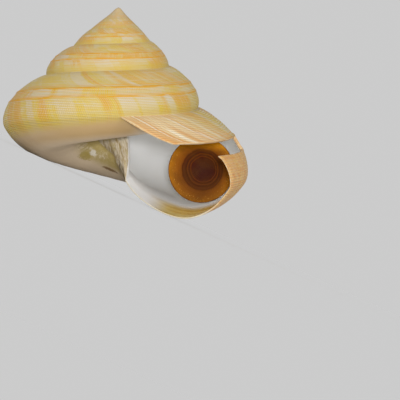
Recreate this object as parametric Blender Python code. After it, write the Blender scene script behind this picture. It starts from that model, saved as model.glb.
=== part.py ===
# Slit shell: a thin, top-shaped sea snail shell with a long slit in its outer lip, and the horny
# lid that closed its mouth. Metres, +Z up, resting on its base and its lip, with the mouth
# towards -Y and the spire leaning to -X.
#
# The shell is modelled by its own growth law. One growth step turns the edge of the mouth about
# the shell's axis and makes it smaller, outwards and along the axis, by two constant factors.
# All the skins below are rows of points that follow this law back from the lip to the tip.

import bpy
import bmesh
from math import cos, exp, pi, radians, sin, tau
from mathutils import Matrix, Vector
from mathutils.geometry import interpolate_bezier

MM = 0.001

# Growth
STEPS = 48              # growth steps in one whorl
WIDEN = 1.584           # how much one whorl grows away from the axis
LENGTHEN = 1.714        # how much one whorl grows along the axis
SPIRE_STEPS = 276       # from the lip to where the tip closes
HOLLOW_STEPS = 56       # how far the hollow goes in from the lip
WALL = 1.5 * MM

# Outline of the last whorl at the lip, as distance from the axis and height below the tip.
# Each row is a cubic curve: its start, its two handles and its end.
SUTURE = Vector((38.8, -44.8)) * MM
BAND_TOP = Vector((55.2, -56.2)) * MM
BAND_FOOT = Vector((59.4, -62.4)) * MM
NEXT_SUTURE = Vector((SUTURE.x * WIDEN, SUTURE.y * LENGTHEN))
LOWEST = Vector((37.9, -92.1)) * MM
UMBILICUS = Vector((8.4, -77.6)) * MM
SHOULDER_CURVE = (SUTURE, Vector((45.4, -46.1)) * MM, Vector((51.4, -52.7)) * MM, BAND_TOP)
SIDE_CURVE = (BAND_FOOT, Vector((61.2, -66.4)) * MM, Vector((63.3, -72.0)) * MM, NEXT_SUTURE)
BASE_CURVE = (NEXT_SUTURE, Vector((60.7, -78.5)) * MM, Vector((52.0, -92.5)) * MM, LOWEST)
FUNNEL_CURVE = (LOWEST, Vector((27.0, -91.7)) * MM, Vector((13.0, -84.9)) * MM, UMBILICUS)
PIT = Vector((0, 0, -55)) * MM      # deepest point of the chink beside the columella

# Departures from the plain law: the lip flares, the young whorls are flat-sided, the tip is thin
FLARE = 0.03            # how much wider the outer wall is at the lip
FLARE_END = 0.6         # whorls back from the lip to where the flare begins
FLAT_START = 1.3        # whorls back from the lip to where the sides start to be flatter
FLAT_END = 3.5          # whorls back to where they are quite flat
PINCH = 0.33            # how much thinner the very tip is
PINCH_HEIGHT = 5.6 * MM

# Straight parts that each curve is divided into
SHOULDER_PARTS = 4
SIDE_PARTS = 3
BASE_PARTS = 7
FUNNEL_PARTS = 4

# The lip, in growth steps back from where it leaves the suture
SHOULDER_LAG = 3        # the upper lip at the slit
SLIT_FOOT_LAG = 6       # the lower lip at the slit
BASE_LAG = 7            # the lower lip at the edge of the base
COLUMELLA_LAG = 8       # the lower lip at the columella
SLIT_END = 11

# How the lip sweeps back along each stretch: over 1 it starts slowly, under 1 it starts fast
SHOULDER_SWEEP = 1.3
SIDE_SWEEP = 0.6
BASE_SWEEP = 3

COLUMELLA_SWELL = Vector((1.0, 0)) * MM
FLAT = 0.15 * MM        # how much is worn off the points that touch the floor
WELD = 0.01 * MM        # points closer than this become one
SHARP = radians(40)     # an edge bent further than this is shaded as a crease

# Lid
LID_RADIUS = 13.5 * MM
LID_THICKNESS = 0.8 * MM
LID_DISH = 2.6 * MM     # how far its middle lies behind its rim
LID_CENTRE = Vector((38.0, -0.6, -64.9)) * MM     # from the tip, in the upright shell
LID_SIDES = 28
LID_RINGS = 5

# How the shell stands
VIEW_TURN = radians(5.4)        # brings the mouth round to face -Y
REST_LEAN = radians(21.0)       # the shell rolls to its left until its lip and base both touch
REST_HINGE = radians(-87.2)     # direction of the level line that it rolls about

# Looks
LIME_COLOUR = (0.82, 0.58, 0.24)
LIME_ROUGHNESS = 0.4
HORN_COLOUR = (0.3, 0.11, 0.02)
HORN_ROUGHNESS = 0.25


def ease(share):
    """0 up to 0, 1 from 1 and smooth in between."""
    share = min(max(share, 0), 1)
    return share * share * (3 - 2 * share)


def flatten(point, whorls):
    """Pull a point of a young whorl's side towards the straight line between its sutures."""
    down = (point.y - SUTURE.y) / (NEXT_SUTURE.y - SUTURE.y)
    line = SUTURE.x + (NEXT_SUTURE.x - SUTURE.x) * down
    if not 0 <= down <= 1:
        return point.x
    return point.x + (line - point.x) * ease((whorls - FLAT_START) / (FLAT_END - FLAT_START))


def at(point, step):
    """A point of the outline, a number of growth steps back from the lip."""
    whorls = step / STEPS
    outwards = ease((point.x - SUTURE.x) / (BAND_TOP.x - SUTURE.x))
    flare = 1 + FLARE * outwards * ease(1 - whorls / FLARE_END)
    height = point.y * LENGTHEN ** -whorls
    pinch = 1 - PINCH * exp(-(height / PINCH_HEIGHT) ** 2)
    reach = flatten(point, whorls) * WIDEN ** -whorls * flare * pinch
    turn = whorls * tau
    return Vector((reach * sin(turn), -reach * cos(turn), height))


def curve(handles, segments):
    """Points along one cubic curve of the outline."""
    start, first, second, end = handles
    return interpolate_bezier(start, first, second, end, segments + 1)


def lags(first, last, count, sweep):
    """How far each point of a stretch of lip lies back, in growth steps."""
    return [first + (last - first) * (i / (count - 1)) ** sweep for i in range(count)]


def inside(points):
    """The same stretch of outline on the inner face of the wall."""
    moved = []
    for i, point in enumerate(points):
        along = points[min(i + 1, len(points) - 1)] - points[max(i - 1, 0)]
        moved.append(point + WALL * Vector((along.y, -along.x)).normalized())
    return moved


def whorl_above(point):
    """The point one whorl back that lies in the same direction from the axis."""
    return Vector((point.x / WIDEN, point.y / LENGTHEN))


def sheet(bm, rows):
    """A skin through rows of points, each row extruded from the last."""
    verts = [bm.verts.new(point) for point in rows[0]]
    edges = [bm.edges.new(pair) for pair in zip(verts, verts[1:])]
    for row in rows[1:]:
        grown = bmesh.ops.extrude_edge_only(bm, edges=edges)["geom"]
        verts = [item for item in grown if isinstance(item, bmesh.types.BMVert)]
        edges = [item for item in grown if isinstance(item, bmesh.types.BMEdge)]
        for vert, point in zip(verts, row):
            vert.co = point


def fan(bm, row, tip):
    """Triangles from a row of points to one point."""
    sheet(bm, [row, [tip] * len(row)])


def lip_row(line, lag, step):
    """One growth line: a stretch of outline with each point at its own lag."""
    return [at(point, back + step) for point, back in zip(line, lag)]


def grow(bm, line, lag, last):
    """A skin that follows the law of growth from the lip back to another growth line."""
    sheet(bm, [lip_row(line, lag, step) for step in range(last + 1)])


def shell_skins(bm):
    """All skins of the shell, outer and inner, as separate sheets that meet edge to edge."""
    shoulder = curve(SHOULDER_CURVE, SHOULDER_PARTS)
    side = curve(SIDE_CURVE, SIDE_PARTS)
    base = curve(BASE_CURVE, BASE_PARTS) + curve(FUNNEL_CURVE, FUNNEL_PARTS)[1:]
    corner = base[:2]
    base = base[1:]
    shoulder_lag = lags(0, SHOULDER_LAG, len(shoulder), SHOULDER_SWEEP)
    side_lag = lags(SLIT_FOOT_LAG, BASE_LAG, len(side), SIDE_SWEEP)
    base_lag = lags(BASE_LAG, COLUMELLA_LAG, len(base), BASE_SWEEP)

    # Where the skins stop: the tip of the spire, and the far end of the hollow
    last = SPIRE_STEPS
    hollow = HOLLOW_STEPS
    grow(bm, shoulder, shoulder_lag, last)
    grow(bm, [BAND_TOP, BAND_FOOT], [SLIT_END] * 2, last + SHOULDER_LAG - SLIT_END)
    grow(bm, side, side_lag, last + SHOULDER_LAG - SLIT_FOOT_LAG)
    grow(bm, corner, [BASE_LAG] * 2, STEPS - BASE_LAG)
    base_last = STEPS + hollow + SHOULDER_LAG - SLIT_FOOT_LAG
    grow(bm, base, base_lag, base_last)

    # The inner face of the wall, and the columella from its foot up to the whorl above
    inner = inside(shoulder + side + base)
    inner_shoulder = [whorl_above(corner[1])] + inner[1:len(shoulder)]
    inner_side = inner[len(shoulder):len(shoulder) + len(side)]
    inner_base = inner[len(shoulder) + len(side):]
    above = whorl_above(UMBILICUS)
    columella = [inner_base[-1], inner_base[-1].lerp(above, 0.5) + COLUMELLA_SWELL, above]
    inner_lower = inner_side + inner_base + columella[1:]
    lower_lag = side_lag + base_lag + [COLUMELLA_LAG] * 2
    grow(bm, inner_shoulder, shoulder_lag, hollow)
    grow(bm, [inner_shoulder[-1], inner_side[0]], [SLIT_END] * 2, hollow + SHOULDER_LAG - SLIT_END)
    grow(bm, inner_lower, lower_lag, hollow + SHOULDER_LAG - SLIT_FOOT_LAG)

    # The rim: upper lip, the two edges and the end of the slit, and the lower lip
    sheet(bm, [lip_row(shoulder, shoulder_lag, 0), lip_row(inner_shoulder, shoulder_lag, 0)])
    slit_top = [BAND_TOP, inner_shoulder[-1]]
    slit_foot = [BAND_FOOT, inner_side[0]]
    sheet(bm, [[at(point, step) for point in slit_top] for step in range(SHOULDER_LAG, SLIT_END + 1)])
    sheet(bm, [[at(point, step) for point in slit_foot] for step in range(SLIT_FOOT_LAG, SLIT_END + 1)])
    sheet(bm, [[at(point, SLIT_END) for point in pair] for pair in (slit_top, slit_foot)])
    lower = side + base
    sheet(bm, [lip_row(lower, side_lag + base_lag, 0), lip_row(inner_lower[:-2], lower_lag, 0)])

    # Closings: the front of the columella, the chink, the tip and the far end of the hollow
    front = [at(UMBILICUS, COLUMELLA_LAG)] + [at(point, COLUMELLA_LAG) for point in columella]
    fan(bm, front, PIT)
    fan(bm, [at(UMBILICUS, COLUMELLA_LAG + step) for step in range(STEPS + 1)], PIT)
    end_shoulder = lip_row(shoulder, shoulder_lag, last)
    end_side = lip_row(side, side_lag, last + SHOULDER_LAG - SLIT_FOOT_LAG)
    seam = [at(SUTURE, last + BASE_LAG - SLIT_FOOT_LAG + SHOULDER_LAG - STEPS + step)
            for step in range(1, STEPS - BASE_LAG + SLIT_FOOT_LAG - SHOULDER_LAG)]
    around = end_shoulder + end_side + seam + end_shoulder[:1]
    fan(bm, around, Vector((0, 0, 0)))
    end_inner = lip_row(inner_shoulder, shoulder_lag, hollow)
    end_lower = lip_row(inner_lower, lower_lag, hollow + SHOULDER_LAG - SLIT_FOOT_LAG)
    end_roof = lip_row(base, base_lag, base_last)[::-1]
    corner_run = BASE_LAG - SLIT_FOOT_LAG + SHOULDER_LAG
    end_corner = [at(base[0], STEPS + hollow + step) for step in range(corner_run, -1, -1)]
    around = end_inner + end_lower + end_roof[1:] + end_corner[1:]
    middle = sum(around, Vector()) / len(around)
    fan(bm, around, middle)


def settle(bm):
    """Turn the shell to the pose in which it stands, on the floor and centred on its box."""
    lean = Matrix.Rotation(REST_LEAN, 4, Vector((cos(REST_HINGE), sin(REST_HINGE), 0)))
    bmesh.ops.transform(bm, matrix=lean @ Matrix.Rotation(VIEW_TURN, 4, "Z"), verts=bm.verts)
    corners = [[pick(v.co[axis] for v in bm.verts) for pick in (min, max)] for axis in range(3)]
    place = Vector([-(low + high) / 2 for low, high in corners])
    place.z = -corners[2][0] - FLAT
    bmesh.ops.transform(bm, matrix=Matrix.Translation(place), verts=bm.verts)
    return Matrix.Translation(place) @ lean


def grind_flats(bm):
    """Cut the few points that touch the floor to small flat faces."""
    geometry = list(bm.verts) + list(bm.edges) + list(bm.faces)
    bmesh.ops.bisect_plane(bm, geom=geometry, plane_co=(0, 0, 0), plane_no=(0, 0, -1), clear_outer=True)
    bmesh.ops.holes_fill(bm, edges=[edge for edge in bm.edges if edge.is_boundary], sides=0)


def shell():
    """The whole shell as one closed skin, with the matrix that sets it on the floor."""
    bm = bmesh.new()
    shell_skins(bm)
    bmesh.ops.remove_doubles(bm, verts=bm.verts, dist=WELD)
    bmesh.ops.dissolve_degenerate(bm, edges=bm.edges, dist=WELD)
    placed = settle(bm)
    grind_flats(bm)
    bmesh.ops.recalc_face_normals(bm, faces=bm.faces)
    return bm, placed


def lid(placed):
    """A thin round lid, dished towards its middle, that sits inside the mouth."""
    bm = bmesh.new()
    parts = [i / LID_RINGS for i in range(LID_RINGS + 1)]
    outer = [Vector((LID_RADIUS * part, 0, LID_DISH * (cos(pi * part) + 1) / 2)) for part in parts]
    inner = [Vector((point.x, 0, point.z + LID_THICKNESS)) for point in reversed(outer)]
    verts = [bm.verts.new(point) for point in outer + inner]
    edges = [bm.edges.new(pair) for pair in zip(verts, verts[1:])]
    bmesh.ops.spin(bm, geom=verts + edges, axis=(0, 0, 1), cent=(0, 0, 0), angle=tau, steps=LID_SIDES)
    bmesh.ops.remove_doubles(bm, verts=bm.verts, dist=WELD)
    bmesh.ops.recalc_face_normals(bm, faces=bm.faces)
    face_mouth = Matrix.Translation(LID_CENTRE) @ Matrix.Rotation(-pi / 2, 4, "X")
    bmesh.ops.transform(bm, matrix=placed @ face_mouth, verts=bm.verts)
    return bm


def material(name, colour, roughness):
    """A plain Principled material."""
    made = bpy.data.materials.new(name)
    made.use_nodes = True
    shader = made.node_tree.nodes["Principled BSDF"]
    shader.inputs["Base Color"].default_value = (*colour, 1)
    shader.inputs["Roughness"].default_value = roughness
    shader.inputs["Metallic"].default_value = 0
    return made


def add_piece(name, bm, made_of, home):
    """One named object from a finished mesh."""
    mesh = bpy.data.meshes.new(name)
    bm.to_mesh(mesh)
    bm.free()
    mesh.materials.append(made_of)
    mesh.shade_smooth()
    mesh.set_sharp_from_angle(angle=SHARP)
    piece = bpy.data.objects.new(name, mesh)
    home.objects.link(piece)
    return piece


for old in list(bpy.data.objects):
    bpy.data.objects.remove(old)
home = bpy.data.collections.new("slit_shell")
bpy.context.scene.collection.children.link(home)

shell_mesh, placed = shell()
add_piece("shell", shell_mesh, material("shell_lime", LIME_COLOUR, LIME_ROUGHNESS), home)
add_piece("operculum", lid(placed), material("horn", HORN_COLOUR, HORN_ROUGHNESS), home)
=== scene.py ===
# %% [markdown]
# # A slit shell and its lid
#
# The object is one shell of a deep-water slit snail, with the round horny lid that closed its
# mouth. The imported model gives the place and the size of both, and this lesson dresses them.
#
# A shell could be sculpted, or drawn out with a screw modifier. Here it is grown instead. One
# outline and two growth factors give every whorl, the lip and the slit, and each point knows
# when it grew, so the materials can follow the growth lines as a real shell's colours do.

# %% Load the frame
from collections import namedtuple
from math import asin, cos, exp, pi, radians, sin, tau

import bmesh
import bpy
from mathutils import Matrix, Vector, noise
from mathutils.geometry import interpolate_bezier


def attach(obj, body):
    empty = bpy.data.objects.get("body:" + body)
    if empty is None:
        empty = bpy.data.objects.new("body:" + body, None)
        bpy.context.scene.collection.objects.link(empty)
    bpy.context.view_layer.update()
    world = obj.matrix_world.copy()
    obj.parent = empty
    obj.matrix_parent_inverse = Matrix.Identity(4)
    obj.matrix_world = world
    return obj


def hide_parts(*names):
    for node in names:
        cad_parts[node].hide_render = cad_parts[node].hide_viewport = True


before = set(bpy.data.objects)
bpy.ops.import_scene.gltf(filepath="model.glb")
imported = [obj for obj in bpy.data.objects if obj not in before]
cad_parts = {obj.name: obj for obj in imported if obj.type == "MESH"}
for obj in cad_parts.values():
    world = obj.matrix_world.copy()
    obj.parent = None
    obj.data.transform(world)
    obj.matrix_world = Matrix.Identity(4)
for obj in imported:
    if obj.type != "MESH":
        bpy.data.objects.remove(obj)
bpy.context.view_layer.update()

MM = 0.001

# %% [markdown]
# ## The outline
#
# Cut a snail's shell through its axis and each whorl shows the same outline, only smaller. So
# one outline at the lip is enough. It is four smooth curves and one straight stretch, the band
# where the slit was closed. It could be a long list of points, but curves stay smooth at any
# fineness. Each is given by its start, two handles and its end, as distance from the axis and
# height below the tip.

# %% Outline of the last whorl
WIDEN = 1.584           # growth of one whorl away from the axis
LENGTHEN = 1.714        # growth of one whorl along the axis
SUTURE = Vector((38.8, -44.8)) * MM
BAND_TOP = Vector((55.2, -56.2)) * MM
BAND_FOOT = Vector((59.4, -62.4)) * MM
NEXT_SUTURE = Vector((SUTURE.x * WIDEN, SUTURE.y * LENGTHEN))
LOWEST = Vector((37.9, -92.1)) * MM
UMBILICUS = Vector((8.4, -77.6)) * MM
SHOULDER_CURVE = (SUTURE, Vector((45.4, -46.1)) * MM, Vector((51.4, -52.7)) * MM, BAND_TOP)
SIDE_CURVE = (BAND_FOOT, Vector((61.2, -66.4)) * MM, Vector((63.3, -72.0)) * MM, NEXT_SUTURE)
BASE_CURVE = (NEXT_SUTURE, Vector((60.7, -78.5)) * MM, Vector((52.0, -92.5)) * MM, LOWEST)
FUNNEL_CURVE = (LOWEST, Vector((27.0, -91.7)) * MM, Vector((13.0, -84.9)) * MM, UMBILICUS)

# How many parts each stretch has
SHOULDER_PARTS = 14
BAND_PARTS = 5
SIDE_PARTS = 10
BASE_PARTS = 21
FUNNEL_PARTS = 14


def curve(handles, parts):
    """Points along one cubic curve of the outline."""
    start, first, second, end = handles
    return interpolate_bezier(start, first, second, end, parts + 1)


outline = curve(SHOULDER_CURVE, SHOULDER_PARTS)
outline += [BAND_TOP.lerp(BAND_FOOT, i / BAND_PARTS) for i in range(1, BAND_PARTS)]
outline += curve(SIDE_CURVE, SIDE_PARTS)
outline += curve(BASE_CURVE, BASE_PARTS)[1:] + curve(FUNNEL_CURVE, FUNNEL_PARTS)[1:]
print("outline points:", len(outline))

# %% [markdown]
# ## The lip
#
# The lip doesn't lie in one plane through the axis, so a flat cut wouldn't give it. From the
# suture the upper lip sweeps back to the slit, and the lower lip stands further back still.
# Every old lip left a growth line of that form, so the same sweep is in the threads and flames
# of the whole shell. Here the sweep is a lag: how far back each point of the outline lies, as a
# share of a whorl.

# %% Lip and slit
STEP = 1 / 144          # the fineness of the model along the whorl
SHOULDER_LAG = 9 * STEP
SLIT_FOOT_LAG = 18 * STEP
BASE_LAG = 21 * STEP
COLUMELLA_LAG = 24 * STEP
SLIT_END = 33 * STEP
HOLLOW = 168 * STEP     # how far back the hollow goes
SPIRE = 1080 * STEP     # how far back the tip lies

# How soon each stretch takes up its lag: 1 is even, more is later
SHOULDER_SWEEP = 1.3
SIDE_SWEEP = 0.6
BASE_SWEEP = 3

Station = namedtuple("Station", "point out across lag")

across = [0.0]
outward = []
for i, point in enumerate(outline):
    along = outline[min(i + 1, len(outline) - 1)] - outline[max(i - 1, 0)]
    outward.append(Vector((-along.y, along.x)).normalized())
    if i:
        across.append(across[-1] + (point - outline[i - 1]).length)


def stretch(first, last, lag, last_lag, sweep=1):
    """Outline points first to last, each with its outward direction and its lag."""
    made = []
    for i in range(first, last + 1):
        share = ((i - first) / (last - first)) ** sweep
        made.append(Station(outline[i], outward[i], across[i], lag + (last_lag - lag) * share))
    return made


band_at = SHOULDER_PARTS
side_at = band_at + BAND_PARTS
base_at = side_at + SIDE_PARTS
shoulder = stretch(0, band_at, 0, SHOULDER_LAG, SHOULDER_SWEEP)
band = stretch(band_at, side_at, SLIT_END, SLIT_END)
side = stretch(side_at, base_at, SLIT_FOOT_LAG, BASE_LAG, SIDE_SWEEP)
base = stretch(base_at, len(outline) - 1, BASE_LAG, COLUMELLA_LAG, BASE_SWEEP)
BAND_START = band[0].across
BAND_STOP = band[-1].across
EDGE = side[-1].across
print("across the whorl, mm: band", round(BAND_START / MM, 1), "to", round(BAND_STOP / MM, 1),
      ", edge of the base", round(EDGE / MM, 1), ", umbilicus", round(base[-1].across / MM, 1))

# %% [markdown]
# ## Growth
#
# One function places any point of the outline any number of whorls back from the lip: it turns
# about the axis and shrinks by the two growth factors. A real shell strays a little from that
# law, and so does this one. Its lip flares, its young whorls have flat sides, and its tip is
# thin. Each of these changes only the distance from the axis, so the heights keep to the law.

# %% Place a point by the law of growth
FLARE = 0.03            # how much wider the outer wall is at the lip
FLARE_END = 0.6         # whorls back to where the flare begins
FLAT_START = 1.3        # whorls back to where the sides start to be flatter
FLAT_END = 3.5          # whorls back to where they are quite flat
PINCH = 0.33            # how much thinner the very tip is
PINCH_HEIGHT = 5.6 * MM


def ease(share):
    """0 up to 0, 1 from 1 and smooth in between."""
    share = min(max(share, 0), 1)
    return share * share * (3 - 2 * share)


def hump(distance, width):
    """A smooth bump, one at its middle."""
    return exp(-(distance / width) ** 2)


def flatten(point, turn):
    """Pull a point of a young whorl's side towards the straight line between its sutures."""
    down = (point.y - SUTURE.y) / (NEXT_SUTURE.y - SUTURE.y)
    line = SUTURE.x + (NEXT_SUTURE.x - SUTURE.x) * down
    if not 0 <= down <= 1:
        return point.x
    return point.x + (line - point.x) * ease((turn - FLAT_START) / (FLAT_END - FLAT_START))


def at(point, turn):
    """A point of the outline, a number of whorls back from the lip, in the upright shell."""
    outwards = ease((point.x - SUTURE.x) / (BAND_TOP.x - SUTURE.x))
    flare = 1 + FLARE * outwards * ease(1 - turn / FLARE_END)
    height = point.y * LENGTHEN ** -turn
    pinch = 1 - PINCH * hump(height, PINCH_HEIGHT)
    reach = flatten(point, turn) * WIDEN ** -turn * flare * pinch
    return Vector((reach * sin(turn * tau), -reach * cos(turn * tau), height))


print("foot of the band at the lip, mm:", [round(value / MM, 1) for value in at(BAND_FOOT, 0)])

# %% [markdown]
# ## Relief
#
# A keel stands on each edge of the slit band, folds follow the growth lines, and callus lies in
# lumps round the umbilicus. Bump in the material would show them too, but not at the silhouette
# or in the mesh that is kept. So they are raised on the outline before it is placed, and shrink
# with the whorls, as on the real shell. The wall is as thick as the lip shows.

# %% Raise the relief and give the wall its two faces
KEEL = 0.22 * MM
KEEL_WIDTH = 0.5 * MM
FOLD = 0.16 * MM
FINE_FOLDS = 55         # changes of the noise in one whorl
BROAD_FOLDS = 14
FOLD_DRIFT = 25         # and in a metre across it
JOIN_CALM = 2 * MM      # folds fade this close to where two skins meet
CALLUS = 0.7 * MM
CALLUS_START = base[-8].across
LUMPS = 30
LUMP_DRIFT = 300
WALL = 1.5 * MM
LIP_WALL = 0.35         # what is left of the wall at the lip
LIP_TAPER = 6 * STEP    # the wall thins to its edge over this stretch


def relief(across, growth):
    """How far the surface stands out, by its place across the whorl and its growth line."""
    keels = hump(across - BAND_START, KEEL_WIDTH) + hump(across - BAND_STOP, KEEL_WIDTH)
    fold = noise.noise(Vector((growth * FINE_FOLDS, across * FOLD_DRIFT, 0)))
    fold += noise.noise(Vector((growth * BROAD_FOLDS, 0, 3)))
    for join in (0, BAND_START, BAND_STOP, EDGE):
        fold *= min(1, abs(across - join) / JOIN_CALM)
    rough = min(1, max(0, (across - CALLUS_START) / (base[-1].across - CALLUS_START)))
    lumps = noise.noise(Vector((growth * LUMPS, across * LUMP_DRIFT, 7)))
    return KEEL * keels + FOLD * fold + CALLUS * lumps * rough * (1 - rough)


def outer(station, growth):
    """Outer face of the wall: place, growth line and place across the whorl."""
    raised = station.point + station.out * relief(station.across, growth)
    return at(raised, station.lag + growth), growth, station.across


def inner(station, growth):
    """Inner face of the wall, which thins towards the lip but not towards the end of the slit."""
    from_lip = 1 if station.lag == SLIT_END else growth / LIP_TAPER
    thickness = WALL * (LIP_WALL + (1 - LIP_WALL) * min(1, from_lip))
    return at(station.point - station.out * thickness, station.lag + growth), growth, station.across


def on_columella(point):
    """A place on the columella, which the relief leaves alone, as a function of the growth line."""
    return lambda growth: (at(point, COLUMELLA_LAG + growth), growth, base[-1].across)


def whorl_above(point):
    """The point one whorl back that lies in the same direction from the axis."""
    return Vector((point.x / WIDEN, point.y / LENGTHEN))


print("keel stands out by", round(relief(BAND_START, 0) / MM, 2), "mm")

# %% [markdown]
# ## Skins
#
# A skin is a sheet of faces between rows of points. Blender's extrude makes each new row from
# the last, and the new points then move to their places, so no face has to be listed. Each face
# also notes its growth line and its place across the whorl as a UV map, so a material can
# follow the growth of the shell.

# %% Make a skin
OUTSIDE, INSIDE, RIM, CALLOUS = range(4)    # the shell's finishes


def sheet(bm, rows, finish):
    """Faces through rows of (place, growth, across), each row extruded from the last."""
    part = bmesh.new()
    uv = part.loops.layers.uv.new("growth")
    verts = [part.verts.new(place) for place, _, _ in rows[0]]
    edges = [part.edges.new(ends) for ends in zip(verts, verts[1:])]
    noted = dict(zip(verts, rows[0]))
    for row in rows[1:]:
        made = bmesh.ops.extrude_edge_only(part, edges=edges)["geom"]
        verts = [item for item in made if isinstance(item, bmesh.types.BMVert)]
        edges = [item for item in made if isinstance(item, bmesh.types.BMEdge)]
        for vert, (place, _, _) in zip(verts, row):
            vert.co = place
        noted.update(zip(verts, row))
    for face in part.faces:
        face.material_index = finish
        for loop in face.loops:
            _, growth, across = noted[loop.vert]
            loop[uv].uv = (growth, across / MM)
    held = bpy.data.meshes.new("sheet")
    part.to_mesh(held)
    part.free()
    bm.from_mesh(held)
    bpy.data.meshes.remove(held)


def rows_back(places, last):
    """Rows of places from the lip back to a growth line."""
    return [[place(i * STEP) for place in places] for i in range(round(last / STEP) + 1)]


def on(surface, line):
    """The stations of a stretch, each as a function of the growth line."""
    return [lambda growth, station=station: surface(station, growth) for station in line]


# %% [markdown]
# ## Outer and inner skins
#
# Above the edge of the base the outer skins run to the tip of the spire, because each whorl
# only covers the base of the one before. The base runs on into the mouth, where it becomes the
# roof of the hollow and is glazed. The inner skin follows the wall down to the columella, the
# pillar in the middle, and climbs it to the whorl above. A Solidify modifier would be quicker,
# but it can't merge the walls of one whorl with those of the next.

# %% Grow the shell
CORNER = 2              # base points between the suture and the roof of the hollow
SWELL = Vector((1.2, 0)) * MM   # how far the columella swells in its middle
side_run = SPIRE + SHOULDER_LAG - SLIT_FOOT_LAG
inner_run = HOLLOW + SHOULDER_LAG - SLIT_FOOT_LAG
base_run = 1 + inner_run
corner = base[:CORNER + 1]
roof = base[CORNER:]

bm = bmesh.new()
bm.loops.layers.uv.new("growth")
sheet(bm, rows_back(on(outer, shoulder), SPIRE), OUTSIDE)
sheet(bm, rows_back(on(outer, band), SPIRE + SHOULDER_LAG - SLIT_END), OUTSIDE)
sheet(bm, rows_back(on(outer, side), side_run), OUTSIDE)
sheet(bm, rows_back(on(outer, corner), 1 - BASE_LAG), OUTSIDE)
roof_places = on(outer, roof)
roof_rows = rows_back(roof_places, base_run)
glaze_row = round(1 / STEP)
sheet(bm, roof_rows[:glaze_row + 1], OUTSIDE)
sheet(bm, roof_rows[glaze_row:], INSIDE)


# The inner skin, with the columella at its end
def top(growth):
    """Where the inner skin meets the roof of the hollow, just below the suture."""
    return outer(roof[0], growth + 1 - BASE_LAG)


foot = base[-1].point - base[-1].out * WALL
head = whorl_above(base[-1].point)
pillar = [on_columella(foot.lerp(head, part) + SWELL * sin(pi * part)) for part in (0.25, 0.5, 0.75)]
pillar.append(lambda growth: outer(base[-1], growth + 1))
inner_upper = [top] + on(inner, shoulder[1:])
inner_lower = on(inner, side[:-1] + base) + pillar
sheet(bm, rows_back(inner_upper, HOLLOW), INSIDE)
sheet(bm, rows_back(on(inner, band), HOLLOW + SHOULDER_LAG - SLIT_END), INSIDE)
sheet(bm, rows_back(inner_lower, inner_run), INSIDE)
print("faces so far:", len(bm.faces))

# %% [markdown]
# ## Rim
#
# The outer and inner skins are still open where they meet: along both lips and round the slit.
# A bevel would eat into the thin wall. Instead the rim closes them with one row of points
# pushed out of the edge, so that it is rounded.

# %% Close the rim
ROUND = 0.25 * MM       # how far the middle of the rim stands out of the edge
slit_steps = [i * STEP for i in range(1, round((SLIT_END - SHOULDER_LAG) / STEP))]
foot_steps = [i * STEP for i in range(1, round((SLIT_END - SLIT_FOOT_LAG) / STEP))]


def pair(station, growth=0):
    """The two sides of the wall at one point of the rim."""
    return outer(station, growth), inner(station, growth)


rim = [(outer(shoulder[0], 0), top(0))] + [pair(station) for station in shoulder[1:]]
rim += [pair(shoulder[-1], growth) for growth in slit_steps]
rim += [pair(station) for station in band]
rim += [pair(side[0], growth) for growth in reversed(foot_steps)]
rim += [pair(station) for station in side[:-1] + base]
middle = [outer(corner[1], 1 - BASE_LAG)]
for before, (outside, inside), after in zip(rim, rim[1:], rim[2:] + rim[-1:]):
    along = after[0][0] - before[0][0]
    away = along.cross(outside[0] - inside[0]).normalized()
    middle.append(((outside[0] + inside[0]) / 2 + away * ROUND, outside[1], outside[2]))
sheet(bm, [[outside for outside, _ in rim], middle, [inside for _, inside in rim]], RIM)
print("rim pairs:", len(rim))

# %% [markdown]
# ## Closings
#
# Four openings are left: the front of the columella, the chink beside it, the tip and the far
# end of the hollow. Each is closed by a fan, a skin whose last row is a single point, because
# their outlines aren't flat and an ordinary cap would fold over.

# %% Close what is left
PIT = Vector((0, 0, -55)) * MM              # the bottom of the chink
PIT_PART = 0.55                             # how far down its middle row lies
PIT_BULGE = Vector((0, 0, -2.0)) * MM
COLUMELLA_FRONT = Vector((0, -0.8, 0)) * MM
TIP = Vector((0, 0, -0.5)) * MM
MERGE = 0.01 * MM


def fan(around, tip, finish):
    """Triangles from a row of points to one point."""
    sheet(bm, [around, [(tip, *place[1:]) for place in around]], finish)


def middle_of(row):
    return sum((place for place, *_ in row), Vector()) / len(row)


ring = [outer(base[-1], i * STEP) for i in range(round(1 / STEP) + 1)]
halfway = [(place.lerp(PIT, PIT_PART) + PIT_BULGE, *rest) for place, *rest in ring]
sheet(bm, [ring, halfway, [(PIT, *place[1:]) for place in ring]], CALLOUS)
front = [ring[0], middle[-1], rim[-1][1]] + [place(0) for place in pillar]
front += [halfway[-1], (PIT, 1, 0), halfway[0]]
fan(front + front[:1], middle_of(front) + COLUMELLA_FRONT, CALLOUS)

seam_start = SPIRE + BASE_LAG + SHOULDER_LAG - SLIT_FOOT_LAG - 1
seam_steps = round((SPIRE - seam_start) / STEP)
tip_row = [outer(station, SPIRE) for station in shoulder]
tip_row += [outer(station, SPIRE + SHOULDER_LAG - SLIT_END) for station in band[1:-1]]
tip_row += [outer(station, side_run) for station in side]
tip_row += [outer(shoulder[0], seam_start + i * STEP) for i in range(1, seam_steps + 1)]
fan(tip_row, TIP, OUTSIDE)

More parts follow.
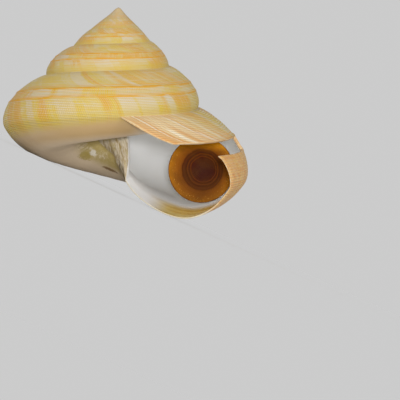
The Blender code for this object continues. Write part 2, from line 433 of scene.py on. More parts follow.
end_row = [place(HOLLOW) for place in inner_upper]
end_row += [inner(station, HOLLOW + SHOULDER_LAG - SLIT_END) for station in band[1:-1]]
end_row += [place(inner_run) for place in inner_lower]
end_row += [place(base_run) for place in reversed(roof_places[:-1])]
corner_steps = round((base_run - (1 + HOLLOW - BASE_LAG)) / STEP)
end_row += [roof_places[0](base_run - i * STEP) for i in range(1, corner_steps + 1)]
fan(end_row, middle_of(end_row), INSIDE)
bmesh.ops.remove_doubles(bm, verts=bm.verts, dist=MERGE)
open_edges = [edge for edge in bm.edges if not edge.is_manifold]
print("faces:", len(bm.faces), "open edges:", len(open_edges))

# %% [markdown]
# ## Set the shell down
#
# Upright, the shell has its axis along Z and its tip at the origin. The solid model stands as a
# real shell does, rolled over on its base and the edge of its mouth, so the fine shell takes
# the same turn and the same place. The mesh itself is turned, not the object, so that patterns
# on the object's coordinates stay in place. What would dip below the floor is worn flat.

# %% Stand it on the floor
VIEW_TURN = radians(5.4)
REST_LEAN = radians(21.0)
REST_HINGE = radians(-87.2)
TIP_PLACE = Vector((-26.27, -1.483, 69.68)) * MM
lean = Matrix.Rotation(REST_LEAN, 4, Vector((cos(REST_HINGE), sin(REST_HINGE), 0)))
facing = Matrix.Translation(TIP_PLACE) @ lean       # from the upright shell, mouth towards -Y
bmesh.ops.transform(bm, matrix=facing @ Matrix.Rotation(VIEW_TURN, 4, "Z"), verts=bm.verts)
for vert in bm.verts:
    vert.co.z = max(vert.co.z, 0)
bmesh.ops.recalc_face_normals(bm, faces=bm.faces)


def new_piece(name, bm, finishes, node):
    """A finished mesh as an object that stands for one solid of the model."""
    mesh = bpy.data.meshes.new(name)
    bm.to_mesh(mesh)
    bm.free()
    for finish in finishes:
        mesh.materials.append(finish)
    mesh.shade_smooth()
    piece = bpy.data.objects.new(name, mesh)
    bpy.context.scene.collection.objects.link(piece)
    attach(piece, "root")
    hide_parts(node)
    print(name, "has", sum(len(face.vertices) - 2 for face in mesh.polygons), "triangles")


# %% [markdown]
# ## Materials
#
# A material is a tree of nodes. A small helper class keeps the trees readable: each of its
# methods adds one or two nodes and returns their output, so that a pattern reads like a sum.

# %% A helper for node trees
class Recipe:
    """Adds nodes to one material and wires them up."""

    def __init__(self, name):
        self.material = bpy.data.materials.new(name)
        self.material.use_nodes = True
        self.tree = self.material.node_tree
        self.shader = self.tree.nodes["Principled BSDF"]

    def node(self, kind, inputs, out=0, **settings):
        made = self.tree.nodes.new("ShaderNode" + kind)
        for name, value in settings.items():
            setattr(made, name, value)
        self.feed(made, inputs)
        return made.outputs[out]

    def feed(self, made, inputs):
        for name, value in inputs.items():
            if isinstance(value, bpy.types.NodeSocket):
                self.tree.links.new(value, made.inputs[name])
            else:
                made.inputs[name].default_value = value

    def math(self, operation, a, b=0.0):
        return self.node("Math", {0: a, 1: b}, operation=operation)

    def add(self, a, b):
        return self.math("ADD", a, b)

    def times(self, *factors):
        product = factors[0]
        for factor in factors[1:]:
            product = self.math("MULTIPLY", product, factor)
        return product

    def between(self, value, low, high):
        """0 at low, 1 at high and smooth in between; low may be the larger of the two."""
        settings = {"Value": value, "From Min": low, "From Max": high}
        return self.node("MapRange", settings, interpolation_type="SMOOTHSTEP")

    def peak(self, value, middle, width):
        """1 at middle, falling to 0 a width away."""
        off = self.math("ABSOLUTE", self.math("SUBTRACT", value, middle))
        return self.between(off, width, 0.0)

    def wave(self, value, period):
        """A wave between 0 and 1."""
        turned = self.math("SINE", self.times(value, tau / period))
        return self.add(self.times(turned, 0.5), 0.5)

    def noise(self, vector, scale, detail=2.0, roughness=0.5):
        inputs = {"Vector": vector, "Scale": scale, "Detail": detail, "Roughness": roughness}
        return self.node("TexNoise", inputs)

    def point(self, x, y, z=0.0):
        return self.node("CombineXYZ", {0: x, 1: y, 2: z})

    def mix(self, share, a, b):
        return self.node("Mix", {0: share, 6: a, 7: b}, out=2, data_type="RGBA")

    def finish(self, colour, height, depth, strength, **constants):
        """Colour and bump, and the shader's own constants; returns the material."""
        bump = self.node("Bump", {"Height": height, "Distance": depth, "Strength": strength})
        self.feed(self.shader, {"Base Color": colour, "Normal": bump})
        for name, value in constants.items():
            self.shader.inputs[name.replace("_", " ")].default_value = value
        print(self.material.name, "has", len(self.tree.nodes), "nodes")
        return self.material


def tone(red, green, blue):
    return (red, green, blue, 1.0)


# %% [markdown]
# ## Patterns that follow the growth
#
# The colours of a shell were laid down line by line at its lip. So the patterns read the UV
# map, where X counts whorls back from the lip and Y is the distance across the whorl in
# millimetres. Noise drawn out along one of these two directions gives flames, threads or
# streaks. An image would show the same, but it would need unwrapping and has a fixed fineness.

# %% Noise along the growth lines
# Places across the whorl as the UV map has them, in millimetres
BAND_FROM, BAND_TO, BASE_FROM = (value / MM for value in (BAND_START, BAND_STOP, EDGE))
base_mm = [station.across / MM for station in base]

SHOULDER, BAND, SIDE = range(3)
ZONE_STEP = 3.7         # how far apart these three zones lie in the noise
BEND = 0.006            # whorls by which a growth line strays

# Changes in a whorl, changes in a millimetre across it, where in the noise, and the two levels
# between which it counts. Zoned noise changes at both edges of the slit band.
Pattern = namedtuple("Pattern", "rate drift seed low high detail zoned", defaults=(0, 1, 2, False))


class Weave:
    """The two directions of the shell's UV map, and noise drawn out along either of them."""

    def __init__(self, recipe):
        self.recipe = recipe
        parts = recipe.node("SeparateXYZ", {"Vector": recipe.node("UVMap", {}, uv_map="growth")})
        self.growth = parts
        self.across = parts.node.outputs[1]
        place = recipe.point(recipe.times(self.growth, 60), self.across)
        wander = recipe.math("SUBTRACT", recipe.noise(place, 0.5), 0.5)
        self.bent = recipe.add(self.growth, recipe.times(wander, BEND))
        above = recipe.math("GREATER_THAN", self.across, BAND_FROM)
        below = recipe.math("GREATER_THAN", self.across, BAND_TO)
        self.zone = recipe.times(recipe.add(above, below), ZONE_STEP)

    def noise(self, pattern):
        """The pattern's noise, before its levels."""
        recipe = self.recipe
        place = recipe.add(self.zone, pattern.seed) if pattern.zoned else pattern.seed
        along = recipe.times(self.bent, pattern.rate)
        aside = recipe.times(self.across, pattern.drift)
        return recipe.noise(recipe.point(along, aside, place), 1.0, pattern.detail, 0.55)

    def part(self, pattern):
        """The part of the surface where the noise is above the pattern's levels."""
        return self.recipe.between(self.noise(pattern), pattern.low, pattern.high)

    def marks(self, spans, soft):
        """The sum of marks, each in one zone between two growth lines."""
        recipe = self.recipe
        total = 0.0
        for zone, first, last, strength in spans:
            start = recipe.between(self.bent, first - soft, first + soft)
            stop = recipe.between(self.bent, last + soft, last - soft)
            here = recipe.math("COMPARE", self.zone, zone * ZONE_STEP)
            here.node.inputs[2].default_value = 0.5
            total = recipe.add(total, recipe.times(start, stop, here, strength))
        return total


print("base from", round(base_mm[0], 1), "to", round(base_mm[-1], 1), "mm across the whorl")

# %% [markdown]
# ## Ground and pale blocks
#
# The ground of the outside is cream and gold, most yellow on the last whorl. Pale blocks lie
# across it, cut off sharply at the edges of the slit band. Noise alone would put them anywhere,
# so the clearest ones of the last whorls are listed by zone and growth line, and noise makes
# the rest.

# %% Paint the ground
CREAM = tone(0.56, 0.48, 0.27)
GOLD = tone(0.57, 0.42, 0.05)
YELLOW = tone(0.60, 0.44, 0.04)
PALE = tone(0.55, 0.50, 0.41)
GOLD_PATCHES = Pattern(26, 0.06, 1, 0.38, 0.62, detail=3, zoned=True)
YELLOW_PATCHES = Pattern(45, 0.25, 22, 0.36, 0.60, detail=3)
LOOSE_BLOCKS = Pattern(22, 0.015, 2, 0.60, 0.625, detail=0, zoned=True)
BLOCK_WEAR = Pattern(90, 0.5, 19, detail=3)
YELLOWEST = 0.62        # the growth line where the shell is most yellow, and how far that reaches
YELLOW_REACH = 0.5
MARKED = (0.60, 1.15)   # the growth lines between which listed marks take the place of noise
MARKED_SOFT = 0.02
BLOCK_SOFT = 0.0015
# Zone, first and last growth line, strength
PALE_BLOCKS = ((SIDE, 0.861, 0.889, 0.95), (SIDE, 0.893, 0.926, 0.75), (SIDE, 0.951, 0.966, 0.9),
               (SIDE, 0.692, 0.706, 0.7), (SIDE, 0.752, 0.785, 0.45), (BAND, 0.585, 0.640, 0.8),
               (BAND, 0.652, 0.700, 0.7), (BAND, 0.760, 0.850, 0.45), (SHOULDER, 0.868, 0.896, 0.7),
               (SHOULDER, 0.968, 0.980, 0.9), (SHOULDER, 1.050, 1.062, 0.5), (SIDE, 1.700, 1.860, 0.55))


def free_of_marks(recipe, weave):
    """1 where noise makes the marks, 0 where they are listed."""
    first, last = MARKED
    after = recipe.between(weave.growth, first - MARKED_SOFT, first)
    before = recipe.between(weave.growth, last + MARKED_SOFT, last)
    return recipe.math("SUBTRACT", 1.0, recipe.times(after, before))


def paint_ground(recipe, weave, free):
    colour = recipe.mix(weave.part(GOLD_PATCHES), CREAM, GOLD)
    last_whorl = recipe.peak(weave.growth, YELLOWEST, YELLOW_REACH)
    colour = recipe.mix(recipe.times(last_whorl, weave.part(YELLOW_PATCHES), 0.9), colour, YELLOW)
    blocks = recipe.times(weave.part(LOOSE_BLOCKS), free)
    blocks = recipe.add(blocks, weave.marks(PALE_BLOCKS, BLOCK_SOFT))
    worn = recipe.add(recipe.times(weave.noise(BLOCK_WEAR), 0.7), 0.6)
    return recipe.mix(recipe.math("MINIMUM", recipe.times(blocks, worn), 1.0), colour, PALE)


print("listed pale blocks:", len(PALE_BLOCKS))

# %% [markdown]
# ## Flames
#
# Rusty flames stand in groups along the growth lines, and the spiral cords break them into
# dashes. Between them a fine hatch of rust and pale threads covers the shell. They are products
# of a few simple patterns, so each can be made wider or weaker on its own.

# %% Paint the flames
RUST = tone(0.60, 0.29, 0.01)
LOOSE_GROUPS = Pattern(10, 0.02, 3, 0.46, 0.60, detail=1, zoned=True)
FLAMES = Pattern(90, 0.03, 4, 0.40, 0.56, zoned=True)
HATCH = Pattern(9, 0.05, 6, 0.40, 0.60, zoned=True)
PALE_THREADS = Pattern(200, 0.03, 15, 0.50, 0.66)
GROUP_SOFT = 0.004
# Zone, first and last growth line, strength
FLAME_GROUPS = ((SIDE, 0.630, 0.674, 1.2), (SIDE, 0.716, 0.738, 1.1), (SIDE, 0.832, 0.858, 0.5),
                (SIDE, 0.934, 0.950, 0.6), (SIDE, 0.968, 1.015, 0.7), (SHOULDER, 0.900, 0.912, 0.5),
                (SHOULDER, 0.950, 1.130, 0.35), (BAND, 0.640, 0.652, 0.6), (SHOULDER, 1.760, 1.860, 0.5))


def paint_flames(recipe, weave, colour, free, cords, threads):
    dashes = recipe.add(recipe.times(cords, 0.65), 0.35)
    groups = recipe.times(weave.part(LOOSE_GROUPS), free)
    groups = recipe.add(groups, weave.marks(FLAME_GROUPS, GROUP_SOFT))
    flames = recipe.add(recipe.times(weave.part(FLAMES), 1.1), 0.2)
    flames = recipe.math("MINIMUM", recipe.times(flames, groups, dashes, 2.2), 1.0)
    colour = recipe.mix(flames, colour, RUST)
    colour = recipe.mix(recipe.times(threads, weave.part(HATCH), 0.32), colour, RUST)
    return recipe.mix(recipe.times(weave.part(PALE_THREADS), 0.3), colour, PALE)


print("listed groups of flames:", len(FLAME_GROUPS))

# %% [markdown]
# ## Spiral lines
#
# Spiral cords run round the whole shell, and growth threads cross them in a fine lattice. Broken
# orange dashes lie along the cords, more of them on the young whorls, and an orange line marks
# each edge of the slit band. A sine of the place across the whorl gives the cords exactly, where
# noise would let them wander.

# %% Paint the spiral lines
CORD = 1.2              # mm between spiral cords at the lip
THREADS = 300           # growth threads in one whorl
ORANGE = tone(0.60, 0.31, 0.01)
DEEP_ORANGE = tone(0.62, 0.29, 0.003)
DEEP_GOLD = tone(0.46, 0.30, 0.01)
ORANGE_STREAKS = Pattern(11, 1.1, 7, 0.54, 0.60)
PALE_STREAKS = Pattern(9, 0.9, 16, 0.55, 0.62)
BROKEN_LINE = Pattern(24, 0.3, 8, 0.38, 0.52)
# Place across the whorl and width in mm, strength
BAND_LINES = ((BAND_FROM, 1.5, 1.0), (BAND_FROM - 2.5, 0.8, 0.7), (BAND_FROM + 2.4, 0.7, 0.5),
              (BAND_TO - 1.6, 0.7, 0.5), (BAND_TO, 1.5, 1.0))


def paint_spirals(recipe, weave, colour, cords, threads):
    young = recipe.add(recipe.between(weave.growth, 0.8, 1.8), 0.35)
    colour = recipe.mix(recipe.times(weave.part(ORANGE_STREAKS), young, 0.6), colour, ORANGE)
    colour = recipe.mix(recipe.times(weave.part(PALE_STREAKS), 0.5), colour, PALE)
    between_cords = recipe.between(cords, 0.45, 0.0)
    colour = recipe.mix(recipe.times(between_cords, 0.75), colour, DEEP_GOLD)
    colour = recipe.mix(recipe.times(threads, cords, 0.6), colour, PALE)
    broken = recipe.add(recipe.times(weave.part(BROKEN_LINE), 0.75), 0.3)
    for place, width, strength in BAND_LINES:
        line = recipe.peak(weave.across, place, width)
        colour = recipe.mix(recipe.times(line, broken, strength), colour, DEEP_ORANGE)
    return colour


print("cords on the last whorl:", round((BASE_FROM + 5) / CORD))

# %% [markdown]
# ## The base
#
# Below its edge the shell turns under. Fine ochre lines fade out there, and the base is smooth
# and tan, with a blush near the lip. Towards its lowest line it is painted lighter, which is
# painted light on the shaded underside. It turns to white porcelain where it enters the mouth.
# The recess round the columella is rough and stained, with an olive and a chalky patch and a dark
# chink, whose dark is painted shadow. Colour is enough for these, because they are seen at a flat
# angle and have little depth.

# %% Paint the base
TAN = tone(0.45, 0.34, 0.19)
SHADED_TAN = tone(0.50, 0.39, 0.26)
BLUSH = tone(0.49, 0.32, 0.14)
PAINTED_LIGHT_TAN = tone(0.74, 0.61, 0.45)
OCHRE = tone(0.52, 0.40, 0.06)
STAIN = tone(0.46, 0.36, 0.15)
BARE = tone(0.66, 0.57, 0.38)
OLIVE = tone(0.42, 0.32, 0.08)
CHALK = tone(0.80, 0.76, 0.66)
CHINK_SHADOW = tone(0.20, 0.10, 0.02)
PORCELAIN = tone(0.92, 0.90, 0.85)
BASE_CLOUDS = Pattern(7, 0.04, 9, 0.35, 0.65)
OCHRE_LINES = Pattern(12, 0.5, 17)
ROUGH_STAIN = Pattern(70, 0.5, 18, 0.40, 0.62, detail=4)
OLIVE_STAIN = Pattern(9, 0.10, 20, 0.40, 0.54)
RAGGED_EDGE = Pattern(120, 0.9, 23, detail=3)
SINK = 7.0              # mm by which the side's colours end earlier near the lip
SINKING = (0.62, 0.90)  # the growth lines over which that comes in
PAINTED_LIGHT_SPAN = (base_mm[12], base_mm[BASE_PARTS])      # from here to the lowest line the base is painted lighter, as painted light on the shaded underside
RECESS = (base_mm[-9], base_mm[-5])
# The third patch is the chink, painted dark as painted shadow in its opening.
# Growth line and reach, place across the whorl and reach in mm, colour
PATCHES = ((0.45, 0.06, 92.5, 7.0, OLIVE), (0.43, 0.035, 97.5, 4.0, CHALK), (0.322, 0.055, 90.5, 3.0, CHINK_SHADOW))


def paint_base(recipe, weave, colour, sunk, cords):
    tan = recipe.mix(weave.part(BASE_CLOUDS), TAN, SHADED_TAN)
    tan = recipe.mix(recipe.times(recipe.between(weave.growth, 0.55, 0.85), 0.8), tan, BLUSH)
    # Painted light: the underside is made lighter to make up for the shade it gets.
    tan = recipe.mix(recipe.between(weave.across, *PAINTED_LIGHT_SPAN), tan, PAINTED_LIGHT_TAN)
    colour = recipe.mix(recipe.between(sunk, BASE_FROM + 2, BASE_FROM + 13), colour, tan)
    fading = recipe.peak(sunk, BASE_FROM + 5, 9.0)
    lines = recipe.add(weave.noise(OCHRE_LINES), 0.3)
    return recipe.mix(recipe.times(fading, cords, lines), colour, OCHRE)


def paint_recess(recipe, weave, colour):
    stained = recipe.mix(weave.part(ROUGH_STAIN), STAIN, BARE)
    stained = recipe.mix(recipe.times(weave.part(OLIVE_STAIN), 0.8), stained, OLIVE)
    colour = recipe.mix(recipe.times(recipe.between(weave.across, *RECESS), 0.9), colour, stained)
    ragged = recipe.times(recipe.math("SUBTRACT", weave.noise(RAGGED_EDGE), 0.5), 1.6)
    for line, reach, place, width, mark in PATCHES:
        spot = recipe.times(recipe.peak(weave.bent, line, reach), recipe.peak(weave.across, place, width))
        spot = recipe.add(spot, recipe.times(ragged, recipe.between(spot, 0.0, 0.4)))
        colour = recipe.mix(recipe.times(recipe.between(spot, 0.15, 0.7), 0.85), colour, mark)
    below = recipe.between(weave.across, BASE_FROM + 1, BASE_FROM + 4)
    in_mouth = recipe.between(weave.growth, 0.87, 0.97)
    return recipe.mix(recipe.times(below, in_mouth), colour, PORCELAIN)


# The span printed here is painted lighter, as painted light on the shaded underside.
print("the base is worn from", round(PAINTED_LIGHT_SPAN[0], 1), "to", round(PAINTED_LIGHT_SPAN[1], 1), "mm across the whorl")

# %% [markdown]
# ## Lip and tip
#
# The newest part, close to the lip, is peach with fine streaks above the slit and a coral mottle
# below it. The suture is greyish, and the tip is worn to a dull tan. Each is mixed over the rest
# by its growth line, and the border of the fresh part wanders a little, as the real one does.

# %% Paint the ends of the growth
SUTURE_GREY = tone(0.42, 0.33, 0.20)
PEACH = tone(0.66, 0.40, 0.18)
LIGHT_PEACH = tone(0.74, 0.60, 0.36)
CORAL_STREAK = tone(0.62, 0.27, 0.07)
WHITE_STREAK = tone(0.78, 0.70, 0.55)
CORAL = tone(0.58, 0.24, 0.05)
APRICOT = tone(0.62, 0.38, 0.12)
WORN_TIP = tone(0.40, 0.31, 0.20)
FINE_STREAKS = Pattern(240, 0.03, 10, 0.40, 0.62, detail=3)
CORAL_STREAKS = Pattern(120, 0.02, 11, 0.52, 0.60)
WHITE_STREAKS = Pattern(85, 0.02, 12, 0.57, 0.63)
MOTTLE = Pattern(150, 0.5, 21, 0.34, 0.66, detail=4)
FRESH_BORDER = Pattern(8, 0.1, 13)
FRESH = (0.17, 0.05)    # the growth lines between which the fresh colours come in
TIP_WEAR = (3.0, 5.6)   # and those over which the tip's wear does


def paint_ends(recipe, weave, colour):
    colour = recipe.mix(recipe.times(recipe.peak(weave.across, 0.0, 0.9), 0.6), colour, SUTURE_GREY)
    fresh = recipe.mix(weave.part(FINE_STREAKS), PEACH, LIGHT_PEACH)
    fresh = recipe.mix(recipe.times(weave.part(CORAL_STREAKS), 0.7), fresh, CORAL_STREAK)
    fresh = recipe.mix(recipe.times(weave.part(WHITE_STREAKS), 0.8), fresh, WHITE_STREAK)
    below_slit = recipe.between(weave.across, BAND_TO - 1, BAND_TO + 1)
    mottled = recipe.mix(weave.part(MOTTLE), CORAL, APRICOT)
    fresh = recipe.mix(recipe.times(below_slit, 0.85), fresh, mottled)
    uneven = recipe.math("SUBTRACT", weave.noise(FRESH_BORDER), 0.5)
    age = recipe.add(weave.growth, recipe.times(uneven, 0.12))
    colour = recipe.mix(recipe.times(recipe.between(age, *FRESH), 0.85), colour, fresh)
    return recipe.mix(recipe.times(recipe.between(weave.growth, *TIP_WEAR), 0.65), colour, WORN_TIP)


print("fresh colours on the last", FRESH[0], "whorl")

# %% [markdown]
# ## The whole outside
#
# The layers go on one over the other. Cords and threads also cross in beads. Modelled, these
# would need millions of faces, so they are bump, which fades on the smooth base and shrinks with
# the whorls. The surface is a satin with little gloss.

# %% Outside material
BEAD = 0.16 * MM        # the height of the beads at the lip
WRINKLES = Pattern(90, 0.05, 14, detail=3)


def outside_finish():
    recipe = Recipe("shell_outside")
    weave = Weave(recipe)
    cords = recipe.wave(weave.across, CORD)
    threads = recipe.wave(weave.growth, 1 / THREADS)
    free = free_of_marks(recipe, weave)
    sunk = recipe.add(weave.across, recipe.times(recipe.between(weave.growth, *SINKING), SINK))
    colour = paint_ground(recipe, weave, free)
    colour = paint_flames(recipe, weave, colour, free, cords, threads)
    colour = paint_spirals(recipe, weave, colour, cords, threads)
    colour = paint_base(recipe, weave, colour, sunk, cords)
    colour = paint_recess(recipe, weave, colour)
    colour = paint_ends(recipe, weave, colour)

    beads = recipe.times(recipe.add(cords, 0.4), recipe.add(threads, 1.0))
    beaded = recipe.add(recipe.times(recipe.between(sunk, BASE_FROM + 13, BASE_FROM + 3), 0.9), 0.1)
    wrinkles = recipe.times(weave.noise(WRINKLES), 1.2)
    smaller = recipe.math("POWER", 1 / LENGTHEN, weave.growth)
    height = recipe.times(recipe.add(recipe.times(beads, beaded), wrinkles), smaller)
    return recipe.finish(colour, height, BEAD, 0.9, Roughness=0.48, Specular_IOR_Level=0.22)


finishes = [outside_finish()]

# %% [markdown]
# ## The inside and the rim
#
# Inside, the wall is smooth white porcelain with a soft gloss. It lets light through, and
# without that the mouth would be grey, so it has subsurface scattering. Close to the lower lip
# the warm colour of the outside shows. The rim is chalky, and paler towards the columella.

# %% Inside and rim materials
SHADED_PORCELAIN = tone(0.90, 0.87, 0.81)
WARM_STAIN = tone(0.48, 0.27, 0.04)
LIGHT_STAIN = tone(0.60, 0.40, 0.11)
PORCELAIN_CLOUDS = Pattern(20, 0.05, 1, 0.35, 0.7)
STAIN_STREAKS = Pattern(120, 0.03, 3, 0.40, 0.62)
INSIDE_WAVES = Pattern(40, 0.1, 2, detail=3)
RIM_WEAR = Pattern(60, 0.6, 1, 0.40, 0.60, detail=3)
RIM_GRAIN = Pattern(200, 1.5, 2, detail=3)


def inside_finish():
    recipe = Recipe("shell_inside")
    weave = Weave(recipe)
    colour = recipe.mix(weave.part(PORCELAIN_CLOUDS), PORCELAIN, SHADED_PORCELAIN)
    warm = recipe.mix(weave.part(STAIN_STREAKS), WARM_STAIN, LIGHT_STAIN)
    near_lip = recipe.between(weave.growth, 0.085, 0.045)
    below_edge = recipe.between(weave.across, BASE_FROM - 6, BASE_FROM + 2)
    before_columella = recipe.between(weave.across, base_mm[-6], base_mm[-12])
    colour = recipe.mix(recipe.times(near_lip, below_edge, before_columella), colour, warm)
    return recipe.finish(colour, weave.noise(INSIDE_WAVES), 0.05 * MM, 0.5, Roughness=0.35,
                         Coat_Weight=0.15, Coat_Roughness=0.2, Specular_IOR_Level=0.4,
                         Subsurface_Weight=0.8, Subsurface_Scale=10 * MM, Subsurface_Radius=(1.0, 0.95, 0.85))


def rim_finish():
    recipe = Recipe("shell_rim")
    weave = Weave(recipe)
    colour = recipe.mix(weave.part(RIM_WEAR), tone(0.56, 0.33, 0.14), tone(0.62, 0.46, 0.26))
    pale = recipe.between(weave.across, base_mm[8], base_mm[16])
    colour = recipe.mix(pale, colour, tone(0.66, 0.60, 0.46))
    return recipe.finish(colour, weave.noise(RIM_GRAIN), 0.1 * MM, 0.6, Roughness=0.6, Specular_IOR_Level=0.2)


finishes += [inside_finish(), rim_finish()]

# %% [markdown]
# ## The callus
#
# Round the columella the shell is covered with callus, rough and stained, in folds that run down
# the columella, and the hollows between the folds are painted dark ochre as painted shadow. The UV
# map is squeezed together there, so this material reads the object's own coordinates instead, and
# draws its noise out along the folds.

# %% Callus material and the finished shell
ACROSS_FOLDS = (0.95, 0.0, 0.30)
ALONG_FOLDS = (-0.30, 0.0, 0.95)
FOLD_DEPTH = 1.2 * MM
WRINKLE_SHARE = 0.5


def callus_finish():
    recipe = Recipe("shell_callus")
    place = recipe.node("TexCoord", {}, out=3)

    def reach(way, rate):
        """How far a point lies in one direction of the upright shell, in mm times the rate."""
        way = facing.to_3x3() @ Vector(way) / MM
        far = recipe.node("VectorMath", {0: place, 1: way}, out=1, operation="DOT_PRODUCT")
        return recipe.times(far, rate)

    folds = recipe.noise(recipe.point(reach(ACROSS_FOLDS, 0.8), reach(ALONG_FOLDS, 0.09)), 1.0, 3.0, 0.6)
    wrinkles = recipe.noise(recipe.point(reach(ACROSS_FOLDS, 2.4), reach(ALONG_FOLDS, 0.5)), 1.0, 3.0, 0.6)
    stains = recipe.between(recipe.noise(place, 200.0, 4.0, 0.6), 0.50, 0.66)
    colour = recipe.mix(recipe.between(wrinkles, 0.38, 0.60), tone(0.46, 0.36, 0.22), tone(0.62, 0.54, 0.40))
    # Where the folds lie low the colour is painted dark: painted shadow in the hollows between them.
    colour = recipe.mix(recipe.between(folds, 0.44, 0.34), colour, tone(0.34, 0.24, 0.09))
    colour = recipe.mix(recipe.between(folds, 0.58, 0.66), colour, tone(0.70, 0.63, 0.48))
    colour = recipe.mix(recipe.times(stains, 0.5), colour, OLIVE)
    height = recipe.add(folds, recipe.times(wrinkles, WRINKLE_SHARE))
    return recipe.finish(colour, height, FOLD_DEPTH, 0.9, Roughness=0.6, Specular_IOR_Level=0.2)


finishes.append(callus_finish())
new_piece("slit_shell_body", bm, finishes, "shell")

# %% [markdown]
# ## The lid
#
# The lid is a thin horny disc that grew in a tight spiral from a point near its middle. It is
# dished, so the middle lies deepest. A flattened sphere would have poles and no edge. So a
# profile is spun round its axis, and the points then move: the middle slides off centre and a
# fine spiral ridge is raised.

# %% Lid
LID_RADIUS = 13.5 * MM
LID_THICKNESS = 0.8 * MM
LID_DISH = 2.6 * MM
LID_BEVEL = 0.15 * MM
LID_CENTRE = Vector((38.0, -0.6, -64.9)) * MM
LID_RINGS = 60
LID_SIDES = 120
NUCLEUS = Vector((1.6, -0.5, 0)) * MM       # where the middle slides to
SLIDE = 1.2             # how fast the slide dies away towards the edge
RIDGES = 9              # turns of the spiral ridge
RIDGE = 0.05 * MM
RIDGE_STOP = 0.97       # the ridge ends here, short of the edge
RIDGE_RISE = 4          # and rises over the first quarter


def lid_face(part, depth):
    """A point of the lid's profile."""
    return Vector((LID_RADIUS * part, 0, LID_DISH * (cos(pi * part) + 1) / 2 + depth))


lid = bmesh.new()
parts = [i / LID_RINGS for i in range(LID_RINGS + 1)]
profile = [lid_face(part, 0) for part in parts[:-1]]
profile += [Vector((LID_RADIUS - LID_BEVEL, 0, 0)), Vector((LID_RADIUS, 0, LID_THICKNESS / 2))]
profile += [Vector((LID_RADIUS - LID_BEVEL, 0, LID_THICKNESS))]
profile += [lid_face(part, LID_THICKNESS) for part in reversed(parts[:-1])]
verts = [lid.verts.new(point) for point in profile]
edges = [lid.edges.new(ends) for ends in zip(verts, verts[1:])]
bmesh.ops.spin(lid, geom=verts + edges, axis=(0, 0, 1), cent=(0, 0, 0), angle=tau, steps=LID_SIDES,
               use_merge=True)
bmesh.ops.remove_doubles(lid, verts=lid.verts, dist=MERGE)
flat_uv = lid.loops.layers.uv.new("flat")
for face in lid.faces:
    for loop in face.loops:
        loop[flat_uv].uv = (loop.vert.co.x / MM, loop.vert.co.y / MM)
for vert in lid.verts:
    part = vert.co.xy.length / LID_RADIUS
    spiral = (RIDGES * part + vert.co.xy.angle_signed(Vector((1, 0)), 0) / tau) % 1
    if part < RIDGE_STOP:
        vert.co.z -= RIDGE * (1 - spiral) * min(1, part * RIDGE_RISE)
    if part < 1:
        vert.co += NUCLEUS * (1 - part) ** SLIDE
bmesh.ops.recalc_face_normals(lid, faces=lid.faces)
upright = Matrix.Translation(LID_CENTRE) @ Matrix.Rotation(-pi / 2, 4, "X")
bmesh.ops.transform(lid, matrix=facing @ upright, verts=lid.verts)
print("faces of the lid:", len(lid.faces))

# %% [markdown]
# ## Horn
#
# The horn is dark brown in the middle, then ringed, and clear amber towards its edge. The rings
# are old edges, so they come from a colour ramp over the distance from the middle, bent a little
# by noise. The amber is painted deeper at the foot of the lid and lighter at its head: painted
# shade below and painted light above, where the upper lip shades the lid. Pale spots near the
# edge are painted glints.

# %% Horn material and the finished lid
RADIUS_MM = LID_RADIUS / MM
# Part of the radius, colour
RINGS = [(0.0, (0.048, 0.008, 0.002)), (0.36, (0.055, 0.008, 0.001)), (0.39, (0.125, 0.026, 0.001)),
         (0.42, (0.045, 0.008, 0.001)), (0.47, (0.130, 0.030, 0.001)), (0.50, (0.050, 0.010, 0.001)),
         (0.57, (0.090, 0.020, 0.001)), (0.61, (0.070, 0.015, 0.001)), (0.65, (0.190, 0.052, 0.001)),
         (0.80, (0.27, 0.085, 0.001)), (0.97, (0.41, 0.150, 0.001)), (1.0, (0.16, 0.050, 0.001))]
CLOUD = tone(0.09, 0.03, 0.001)
PAINTED_SHADE_AMBER = tone(0.10, 0.03, 0.001)
PAINTED_LIGHT_AMBER = tone(0.62, 0.26, 0.001)
PAINTED_GLINT = tone(0.62, 0.33, 0.06)
FINE_RING = 0.45        # mm between the finest rings


def horn_finish():
    recipe = Recipe("lid_horn")
    place = recipe.node("UVMap", {}, uv_map="flat")
    reach = recipe.node("VectorMath", {0: place}, out=1, operation="LENGTH")
    uneven = recipe.math("SUBTRACT", recipe.noise(place, 0.25, 1.0), 0.5)
    ringed = recipe.math("DIVIDE", recipe.add(reach, uneven), RADIUS_MM)
    colour = recipe.node("ValToRGB", {"Fac": ringed})
    stops = colour.node.color_ramp.elements
    for i, (position, shade) in enumerate(RINGS):
        stop = stops[i] if i < 2 else stops.new(position)
        stop.position = position
        stop.color = (*shade, 1)
    clouds = recipe.between(recipe.noise(place, 0.16, 2.0), 0.38, 0.62)
    colour = recipe.mix(recipe.times(clouds, 0.35), colour, CLOUD)
    down = recipe.node("SeparateXYZ", {"Vector": place}, out=1)
    # Painted shade on the lower part of the lid and painted light on its upper part, which the upper lip
    # shades.
    colour = recipe.mix(recipe.times(recipe.between(down, 2.0, 13.0), 0.6), colour, PAINTED_SHADE_AMBER)
    colour = recipe.mix(recipe.times(recipe.between(down, -7.0, -12.5), 0.6), colour, PAINTED_LIGHT_AMBER)
    # Pale spots near the edge are painted glints, painted highlights on the horn.
    near_edge = recipe.between(reach, RADIUS_MM * 0.75, RADIUS_MM * 0.85)
    painted_glints = recipe.between(recipe.noise(place, 1.6, 3.0, 0.6), 0.60, 0.70)
    colour = recipe.mix(recipe.times(painted_glints, near_edge, 0.7), colour, PAINTED_GLINT)
    height = recipe.add(recipe.wave(reach, FINE_RING), recipe.noise(place, 1.5, 4.0))
    return recipe.finish(colour, height, 0.06 * MM, 0.6, Roughness=0.45, Specular_IOR_Level=0.05)


new_piece("horny_lid", lid, [horn_finish()], "operculum")

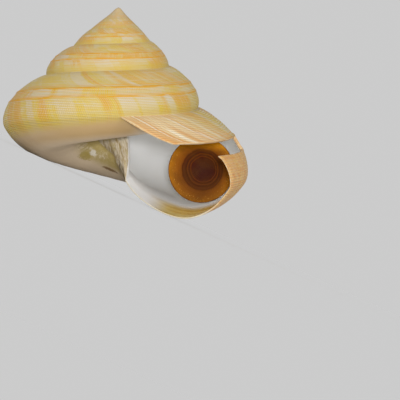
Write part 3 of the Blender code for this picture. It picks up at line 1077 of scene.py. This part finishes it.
# %% [markdown]
# ## Studio
#
# The floor is a wide pale sheet, not part of the shell. The
# camera looks almost along it, so lamps close by would draw bright bands over it. Distant lamps
# and an even sky light all of it alike, and its tone is chosen so that it meets the sky without
# a line.
#
# The key comes from the camera's left, high enough to model the whorls. A flat front lamp
# reaches into the mouth, which the upper lip would leave in shadow. A weak fill from the right
# lightens the base and the lower lip.

# %% Floor and lights
SKY = 0.60              # brightness of the world
FLOOR_SIZE = 60
# Name, power, degrees to the camera's left, degrees up, and how broad the lamp is in degrees
LAMPS = (("key", 0.6, 22, 28, 35), ("front", 1.8, -1, 3.5, 5), ("fill", 0.6, -30, 12, 20))


def soft_sun(name, power, side, height, spread):
    """A distant lamp, placed by its direction in the upright shell; returns its light."""
    lamp = bpy.data.lights.new(name, "SUN")
    lamp.energy = power
    lamp.angle = radians(spread)
    side = radians(side)
    height = radians(height)
    way = facing.to_3x3() @ Vector((-sin(side) * cos(height), -cos(side) * cos(height), sin(height)))
    holder = bpy.data.objects.new(name, lamp)
    holder.rotation_euler = way.to_track_quat("Z", "Y").to_euler()
    bpy.context.scene.collection.objects.link(holder)
    print(name, "stands", round(asin(way.z) / radians(1)), "degrees above the floor")
    return power * way.z / pi


lit = SKY
for lamp_facts in LAMPS:
    lit += soft_sun(*lamp_facts)

bpy.ops.mesh.primitive_plane_add(size=FLOOR_SIZE, location=(0, 0, 0))
floor = bpy.context.object
floor.name = "floor"
pale = Recipe("pale_floor")
pale.feed(pale.shader, {"Base Color": tone(*[SKY / lit] * 3), "Roughness": 1.0, "Specular IOR Level": 0.0})
floor.data.materials.append(pale.material)

world = bpy.data.worlds.new("studio")
world.use_nodes = True
world.node_tree.nodes["Background"].inputs["Color"].default_value = tone(1, 1, 1)
world.node_tree.nodes["Background"].inputs["Strength"].default_value = SKY
bpy.context.scene.world = world
bpy.context.scene.view_settings.view_transform = "Standard"

# %% [markdown]
# ## Camera
#
# The photograph looks straight into the mouth with the axis almost upright in the picture. The
# shell leans here, so the camera leans with it. Its direction is set in the upright shell and
# then carried over. A point half way up the axis falls at a known place in the picture, and
# the scale there gives the distance of a long lens. Aiming by eye would need many tries.

# %% Camera
VIEW_RISE = radians(0.55)
VIEW_ROLL = radians(-3.59)
PICTURE = 400           # pixels across
AXIS_PIXEL = Vector((111.8, 114.6))
AXIS_POINT = Vector((0, 0, -44.55)) * MM
PIXEL = 0.41 * MM       # what one pixel shows at the shell
DISTANCE = 3.03
SENSOR = 36.0
FARTHEST = 50

to_camera = Vector((0, -cos(VIEW_RISE), sin(VIEW_RISE)))
level_up = Vector((0, sin(VIEW_RISE), cos(VIEW_RISE)))
right = cos(VIEW_ROLL) * Vector((1, 0, 0)) - sin(VIEW_ROLL) * level_up
up = sin(VIEW_ROLL) * Vector((1, 0, 0)) + cos(VIEW_ROLL) * level_up
off = (Vector((PICTURE / 2, PICTURE / 2)) - AXIS_PIXEL) * PIXEL
target = AXIS_POINT + right * off.x - up * off.y
eye = AXIS_POINT + to_camera * DISTANCE
back = (eye - target).normalized()
right = up.cross(back).normalized()
axes = Matrix((right, back.cross(right), back)).transposed().to_4x4()
lens = bpy.data.cameras.new("camera")
lens.sensor_width = SENSOR
lens.lens = SENSOR * DISTANCE / (PICTURE * PIXEL)
lens.clip_end = FARTHEST
camera = bpy.data.objects.new("camera", lens)
camera.matrix_world = facing @ Matrix.Translation(eye) @ axes
bpy.context.scene.collection.objects.link(camera)
bpy.context.scene.camera = camera
print("camera stands", round(camera.location.z / MM), "mm above the floor, lens", round(lens.lens), "mm")
